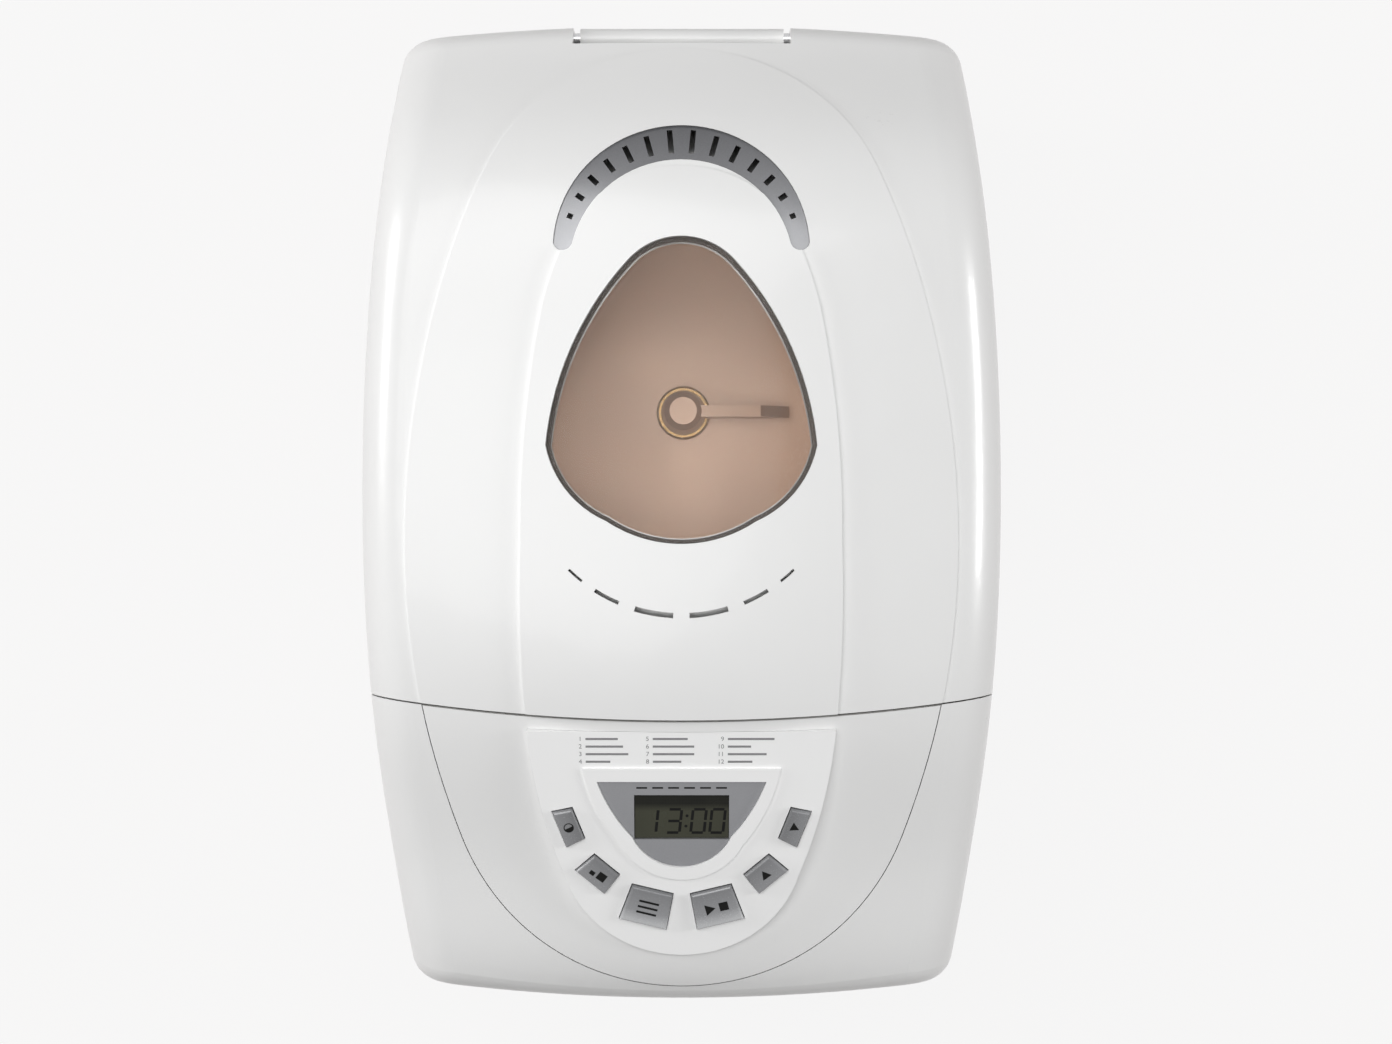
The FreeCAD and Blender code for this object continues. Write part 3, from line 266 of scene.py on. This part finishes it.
def displayGlass(name):
    made = Finish(name, IOR=1.5, Specular_IOR_Level=0.14, Coat_Weight=0.03, Coat_Roughness=0.04)
    cells = made.node(
        "ShaderNodeTexBrick",
        {"offset": 0.0, "squash": 1.0},
        {
            "Vector": made.spot(),
            "Scale": 1.0,
            "Brick Width": 0.0006,
            "Row Height": 0.0006,
            "Mortar Size": 0.00005,
            "Color1": (1, 1, 1, 1),
            "Color2": (0.9, 0.9, 0.9, 1),
            "Mortar": (0, 0, 0, 1),
        },
        out="Fac",
    )
    cloud = made.noise(0.012, 2.0)
    # the near-black strip along the top of the display is painted shadow cast by the bezel; below it the
    # glass has its own olive tone
    lower = made.along("Y", -0.1125, -0.1155)
    made.feed(
        "Base Color",
        made.blend(lower * 0.75 + cloud * 0.15 + cells * 0.10, (0.006, 0.006, 0.005), (0.062, 0.063, 0.044)),
    )
    made.feed("Roughness", 0.22 + cloud * 0.08)
    return made


def circuitBoard(name):
    made = Finish(name, Coat_Weight=0.4, Coat_Roughness=0.2)
    tracks = made.node(
        "ShaderNodeTexBrick",
        {},
        {
            "Vector": made.spot(),
            "Scale": 1.0,
            "Brick Width": 0.009,
            "Row Height": 0.0022,
            "Mortar Size": 0.0004,
        },
        out="Fac",
    )
    cloud = made.noise(0.01, 3.0)
    made.feed("Base Color", made.blend(tracks * 0.6 + cloud * 0.3, (0.02, 0.11, 0.045), (0.10, 0.24, 0.10)))
    made.feed("Roughness", 0.45 + (cloud - 0.5) * 0.2)
    made.bump(tracks, 0.3, 0.0001)
    return made


def softRubber(name):
    made = Finish(name)
    grain = made.noise(0.0008, 3.0)
    cloud = made.noise(0.02, 3.0)
    made.feed("Base Color", made.blend(cloud, (0.018, 0.018, 0.018), (0.045, 0.045, 0.046)))
    made.feed("Roughness", 0.72 + (grain - 0.5) * 0.2)
    made.bump(grain, 0.5, 0.00015)
    return made


plastics = {
    "whiteShell": {
        "dark": (0.81, 0.81, 0.805),
        "light": (0.87, 0.87, 0.865),
        "rough": 0.30,
        "coat": 0.14,
        "grain": 0.0016,
        "lift": 0.00003,
    },
    # a paler copy of the shell's white for the key deck: painted light on its tilted face
    "deckLitWhite": {
        "dark": (0.93, 0.93, 0.927),
        "light": (0.96, 0.96, 0.957),
        "rough": 0.34,
        "coat": 0.12,
        "grain": 0.0012,
        "lift": 0.00003,
    },
    "darkPlastic": {
        "dark": (0.02, 0.02, 0.021),
        "light": (0.035, 0.035, 0.037),
        "rough": 0.5,
        "coat": 0.0,
        "grain": 0.0007,
        "lift": 0.0001,
    },
    "palePlastic": {
        "dark": (0.60, 0.59, 0.56),
        "light": (0.68, 0.67, 0.64),
        "rough": 0.42,
        "coat": 0.05,
        "grain": 0.0009,
        "lift": 0.00006,
    },
    "switchBlack": {
        "dark": (0.012, 0.012, 0.012),
        "light": (0.02, 0.02, 0.02),
        "rough": 0.45,
        "coat": 0.0,
        "grain": 0.0006,
        "lift": 0.00005,
    },
    "ceramic": {
        "dark": (0.74, 0.71, 0.66),
        "light": (0.82, 0.79, 0.74),
        "rough": 0.55,
        "coat": 0.0,
        "grain": 0.001,
        "lift": 0.0001,
    },
}
sheets = {
    "sheetSteel": {
        "dark": (0.42, 0.42, 0.42),
        "light": (0.62, 0.62, 0.61),
        "rough": 0.34,
        "along": "z",
        "grain": 0.004,
    },
    "brightSteel": {
        "dark": (0.52, 0.52, 0.53),
        "light": (0.70, 0.70, 0.71),
        "rough": 0.20,
        "along": "y",
        "grain": 0.003,
    },
}
castings = {
    "elementSteel": {"dark": (0.055, 0.05, 0.046), "light": (0.11, 0.10, 0.095), "rough": 0.5},
    "castAluminium": {"dark": (0.45, 0.45, 0.46), "light": (0.60, 0.60, 0.61), "rough": 0.42},
    "bearingBronze": {"dark": (0.40, 0.24, 0.09), "light": (0.55, 0.35, 0.15), "rough": 0.3},
}


def plastic(name):
    return mouldedPlastic(name, **plastics[name])


def steelSheet(name):
    return sheetMetal(name, **sheets[name])


def casting(name):
    return castMetal(name, **castings[name])


finishes = {
    "white_shell": plastic("whiteShell"),
    "grey_trim": silverTrim("silverTrim"),
    "grey_keys": silverKeys("greyKeys"),
    "dark_plastic": plastic("darkPlastic"),
    "pale_plastic": plastic("palePlastic"),
    "switch_black": plastic("switchBlack"),
    "ceramic": plastic("ceramic"),
    "window_glass": clearPane("windowGlass", tint=(0.78, 0.62, 0.50), alpha=0.045),
    "display_glass": displayGlass("displayGlass"),
    "soft_rubber": softRubber("softRubber"),
    "sheet_steel": steelSheet("sheetSteel"),
    "bright_steel": steelSheet("brightSteel"),
    "element_steel": casting("elementSteel"),
    "cast_aluminium": casting("castAluminium"),
    "bearing_bronze": casting("bearingBronze"),
    "pan_coating": coatedPan("panCoating"),
    "circuit_board": circuitBoard("circuitBoard"),
}
for subpart in frame["record"]["subparts"]:
    mesh = nodes[subpart["node"]].data
    mesh.materials.clear()
    mesh.materials.append(finishes[subpart["material_slot"]].material)
# the key deck gets a paler copy of the shell's white: painted light that makes up for the light its tilted
# face misses
nodes["button_deck"].data.materials[0] = plastic("deckLitWhite").material
print("finishes:", len(finishes) + 1)


# printed marks lie in the plane of the tilted key deck
deckPlane = {"y": -0.080, "z": 0.2875, "tilt": 20.0}
deckTilt = Matrix.Rotation(math.radians(deckPlane["tilt"]), 4, "X")
toDeck = Matrix.Translation((0, deckPlane["y"], deckPlane["z"])) @ deckTilt


def printedInk(name, dark, light, **fixed):
    made = Finish(name, **fixed)
    cloud = made.noise(0.0015, 2.0)
    made.feed("Base Color", made.blend(cloud, dark, light))
    return made


printInk = printedInk("printInk", (0.20, 0.20, 0.205), (0.27, 0.27, 0.275), Roughness=0.5)
darkTones = ((0.006, 0.006, 0.006), (0.014, 0.014, 0.013))
darkInk = printedInk("darkInk", *darkTones, Roughness=0.45, Specular_IOR_Level=0.08)


def addObject(name, data):
    made = bpy.data.objects.new(name, data)
    bpy.context.scene.collection.objects.link(made)
    return made


def meshFrom(name, bm, finish):
    mesh = bpy.data.meshes.new(name)
    bm.to_mesh(mesh)
    bm.free()
    mesh.materials.append(finish.material)
    return mesh


def bar(bm, x, y, z, across, high, lean=0.0):
    # one flat rectangle, its top pushed sideways by the lean
    slant = Matrix.Identity(4)
    slant[0][1] = lean
    place = Matrix.Translation((x, y, z)) @ slant @ Matrix.Diagonal((across, high, 1, 1))
    bmesh.ops.create_grid(bm, x_segments=1, y_segments=1, size=0.5, matrix=place)


def disc(bm, x, y, z, radius, corners, turn=0.0):
    place = Matrix.Translation((x, y, z)) @ Matrix.Rotation(math.radians(turn), 4, "Z")
    bmesh.ops.create_circle(bm, cap_ends=True, segments=corners, radius=radius, matrix=place)


def ring(bm, radius, width, part=360.0, start=0.0):
    # an arc of a flat ring, spun from one edge
    a = bm.verts.new((radius, 0, 0))
    b = bm.verts.new((radius + width, 0, 0))
    edge = bm.edges.new((a, b))
    bmesh.ops.rotate(bm, verts=[a, b], cent=(0, 0, 0), matrix=Matrix.Rotation(math.radians(start), 3, "Z"))
    bmesh.ops.spin(
        bm,
        geom=[a, b, edge],
        cent=(0, 0, 0),
        axis=(0, 0, 1),
        angle=math.radians(part),
        steps=max(8, int(part / 10)),
        use_merge=part >= 360,
    )


def addMarks(name, bm, ink, body):
    # turns the flat marks face up and sets them on the deck
    bmesh.ops.remove_doubles(bm, verts=bm.verts, dist=1e-7)
    for face in bm.faces:
        face.normal_update()
        if face.normal.z < 0:
            face.normal_flip()
    bmesh.ops.transform(bm, matrix=toDeck, verts=bm.verts)
    made = addObject(name, meshFrom(name, bm, ink))
    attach(made, body)


def numberMesh(text, size):
    # a plain number as a flat mesh
    curve = bpy.data.curves.new("number", "FONT")
    curve.body = text
    curve.size = size
    curve.align_x = "RIGHT"
    holder = addObject("number", curve)
    bpy.context.view_layer.update()
    flat = bpy.data.meshes.new_from_object(holder.evaluated_get(bpy.context.evaluated_depsgraph_get()))
    bpy.data.objects.remove(holder)
    return flat


# programme list: plain numbers with bars
programmeList = {
    "columns": (-0.0385, -0.0125, 0.0165),
    "rows": (-0.0070, -0.0102, -0.0134, -0.0166),
    "bars": (
        (0.0125, 0.0145, 0.0165, 0.0095),
        (0.0135, 0.0160, 0.0160, 0.0110),
        (0.0180, 0.0090, 0.0150, 0.0095),
    ),
    "barHigh": 0.0009,
    "barGap": 0.0014,
    "text": 0.0026,
    "textDrop": 0.0008,
    "z": 0.00004,
}
bm = bmesh.new()
number = 0
for x, lengths in zip(programmeList["columns"], programmeList["bars"]):
    for y, long in zip(programmeList["rows"], lengths):
        number += 1
        flat = numberMesh(str(number), programmeList["text"])
        flat.transform(Matrix.Translation((x, y - programmeList["textDrop"], programmeList["z"])))
        bm.from_mesh(flat)
        bpy.data.meshes.remove(flat)
        middle = x + programmeList["barGap"] + long / 2
        bar(bm, middle, y, programmeList["z"], long, programmeList["barHigh"])
addMarks("programmeList", bm, printInk, "machine")

# ticks above the display
displayTicks = {
    "x": (-0.0155, -0.0093, -0.0031, 0.0031, 0.0093, 0.0155),
    "y": -0.0279,
    "z": -0.00036,
    "across": 0.0042,
    "high": 0.0007,
}
bm = bmesh.new()
for x in displayTicks["x"]:
    bar(bm, x, *(displayTicks[k] for k in ("y", "z", "across", "high")))
addMarks("displayTicks", bm, darkInk, "machine")

# display digits in seven straight strokes
displayDigits = {
    "shown": (("1", -0.0122), ("3", -0.0030), ("0", 0.0066), ("0", 0.0140)),
    "high": 0.0100,
    "wide": 0.0052,
    "stroke": 0.0011,
    "acrossShare": 0.84,
    "uprightShare": 0.42,
    "lean": 0.10,
    "y": -0.0425,
    "z": -0.00136,
    "dotX": 0.0019,
    "dotApart": 0.0022,
    "dotRadius": 0.0006,
}
strokes = {"1": "bc", "3": "abgcd", "0": "abcdef"}


def digit(bm, sign, x):
    h, w, s, y, z, lean = (displayDigits[k] for k in ("high", "wide", "stroke", "y", "z", "lean"))
    flatStroke = (w * displayDigits["acrossShare"], s)
    upright = (s, h * displayDigits["uprightShare"])
    spots = {
        "a": (0, h / 2, *flatStroke),
        "d": (0, -h / 2, *flatStroke),
        "g": (0, 0, *flatStroke),
        "b": (w / 2, h / 4, *upright),
        "c": (w / 2, -h / 4, *upright),
        "e": (-w / 2, -h / 4, *upright),
        "f": (-w / 2, h / 4, *upright),
    }
    for stroke in strokes[sign]:
        dx, dy, across, high = spots[stroke]
        bar(bm, x + dx + lean * dy, y + dy, z, across, high, lean)


bm = bmesh.new()
for sign, x in displayDigits["shown"]:
    digit(bm, sign, x)
for dy in (displayDigits["dotApart"], -displayDigits["dotApart"]):
    dotX = displayDigits["dotX"] + displayDigits["lean"] * dy
    disc(bm, dotX, displayDigits["y"] + dy, displayDigits["z"], displayDigits["dotRadius"], corners=12)
addMarks("displayDigits", bm, darkInk, "machine")

# a simple sign on each key: a bar is x, y, width and height, a triangle is x, y, radius and turn
keySigns = {
    "shade": {
        "angle": -70.0,
        "radius": 0.0468,
        "turn": 7.0,
        "rings": (
            {"radius": 0.0016, "width": 0.0004},
            {"radius": 0.0001, "width": 0.0015, "part": 180.0, "start": -90.0},
        ),
    },
    "size": {
        "angle": -42.0,
        "radius": 0.0488,
        "turn": 4.2,
        "bars": ((-0.0024, -0.0008, 0.0022, 0.0018), (0.0016, 0.0, 0.0036, 0.0034)),
    },
    "menu": {
        "angle": -14.8,
        "radius": 0.0525,
        "turn": 0.0,
        "bars": ((0, -0.0024, 0.0080, 0.0009), (0, 0, 0.0080, 0.0009), (0, 0.0024, 0.0080, 0.0009)),
    },
    "start": {
        "angle": 14.8,
        "radius": 0.0525,
        "turn": 0.0,
        "triangles": ((-0.0028, 0, 0.0027, -90.0),),
        "bars": ((0.0032, 0, 0.0036, 0.0036),),
    },
    "later": {
        "angle": 42.0,
        "radius": 0.0488,
        "turn": -4.2,
        "triangles": ((0, -0.0004, 0.0024, 0.0),),
    },
    "sooner": {
        "angle": 70.0,
        "radius": 0.0468,
        "turn": -7.0,
        "triangles": ((0, 0.0002, 0.0022, 180.0),),
    },
}
keyArc = {"y": -0.028, "z": 0.00184}  # the middle of the arc of keys, just above their tops
for name, sign in keySigns.items():
    bm = bmesh.new()
    for circle in sign.get("rings", ()):
        ring(bm, **circle)
    for x, y, radius, turn in sign.get("triangles", ()):
        disc(bm, x, y, 0, radius, corners=3, turn=turn)
    for x, y, across, high in sign.get("bars", ()):
        bar(bm, x, y, 0, across, high)
    place = (
        Matrix.Translation((0, keyArc["y"], keyArc["z"]))
        @ Matrix.Rotation(math.radians(sign["angle"]), 4, "Z")
        @ Matrix.Translation((0, -sign["radius"], 0))
        @ Matrix.Rotation(math.radians(sign["turn"]), 4, "Z")
    )
    bmesh.ops.transform(bm, matrix=place, verts=bm.verts)
    addMarks(name + "Sign", bm, darkInk, name + "_key")
print("marks: list, ticks, digits and", len(keySigns), "key signs")


# floor, light and camera
floorPatch = {"half": 3.0, "below": 0.0002, "glow": 0.88}
bm = bmesh.new()
underFeet = Matrix.Translation((0, 0, -floorPatch["below"]))
bmesh.ops.create_grid(bm, x_segments=1, y_segments=1, size=floorPatch["half"], matrix=underFeet)
floorFinish = Finish("floorPaper", Roughness=0.9)
floorCloud = floorFinish.noise(0.4, 2.0)
floorFinish.feed("Base Color", floorFinish.blend(floorCloud, (0.46, 0.42, 0.405), (0.49, 0.45, 0.435)))
glow = floorFinish.node("ShaderNodeEmission", {}, {"Color": (1, 1, 1, 1), "Strength": 1.0})
paper = Wire(floorFinish, floorFinish.shader.outputs[0])
share = floorFinish.seen() * floorPatch["glow"]
lit = floorFinish.node("ShaderNodeMixShader", {}, {0: share, 1: paper, 2: glow})
floorFinish.surface("Material Output", lit)
floor = addObject("floor", meshFrom("floor", bm, floorFinish))

studio = {"light": 0.15, "seen": 0.92}
world = bpy.data.worlds.new("studio")
bpy.context.scene.world = world
world.use_nodes = True
room = NodeMaker(world.node_tree)
room.tree.nodes.remove(room.tree.nodes["Background"])
white = (1.0, 1.0, 1.0, 1.0)
fillLight = room.node("ShaderNodeBackground", {}, {"Color": white, "Strength": studio["light"]})
paleWall = room.node("ShaderNodeBackground", {}, {"Color": white, "Strength": studio["seen"]})
wall = room.node("ShaderNodeMixShader", {}, {0: room.seen(), 1: fillLight, 2: paleWall})
room.surface("World Output", wall)

lamps = {
    "overhead": {"at": (-0.38, 0.22, 1.85), "to": (0, 0.0, 0.25), "size": 1.5, "power": 20.5},
    "left": {"at": (-1.5, 0.3, 0.66), "to": (0, 0, 0.25), "size": 0.4, "power": 8.5},
    "right": {"at": (1.5, 0.0, 0.74), "to": (0, 0, 0.25), "size": 0.4, "power": 8.5},
}
for name, lamp in lamps.items():
    data = bpy.data.lights.new(name, "AREA")
    data.shape = "SQUARE"
    data.size = lamp["size"]
    data.energy = lamp["power"]
    made = addObject(name, data)
    made.location = lamp["at"]
    made.rotation_euler = (Vector(lamp["to"]) - Vector(lamp["at"])).to_track_quat("-Z", "Y").to_euler()

photoView = {
    "x": 0.0056,
    "y": -0.0028,
    "level": 0.24,
    "away": 1.30,
    "metresPerPixel": 0.0004,
    "across": 1392,
    "sensor": 36.0,
}
cameraData = bpy.data.cameras.new("camera")
cameraData.sensor_width = photoView["sensor"]
viewWidth = photoView["metresPerPixel"] * photoView["across"]
cameraData.lens = photoView["sensor"] * photoView["away"] / viewWidth
cameraData.clip_end = 50.0
camera = addObject("camera", cameraData)
camera.location = (photoView["x"], photoView["y"], photoView["level"] + photoView["away"])
bpy.context.scene.camera = camera
bpy.context.scene.view_settings.view_transform = "Standard"
print("camera lens:", round(cameraData.lens, 1))
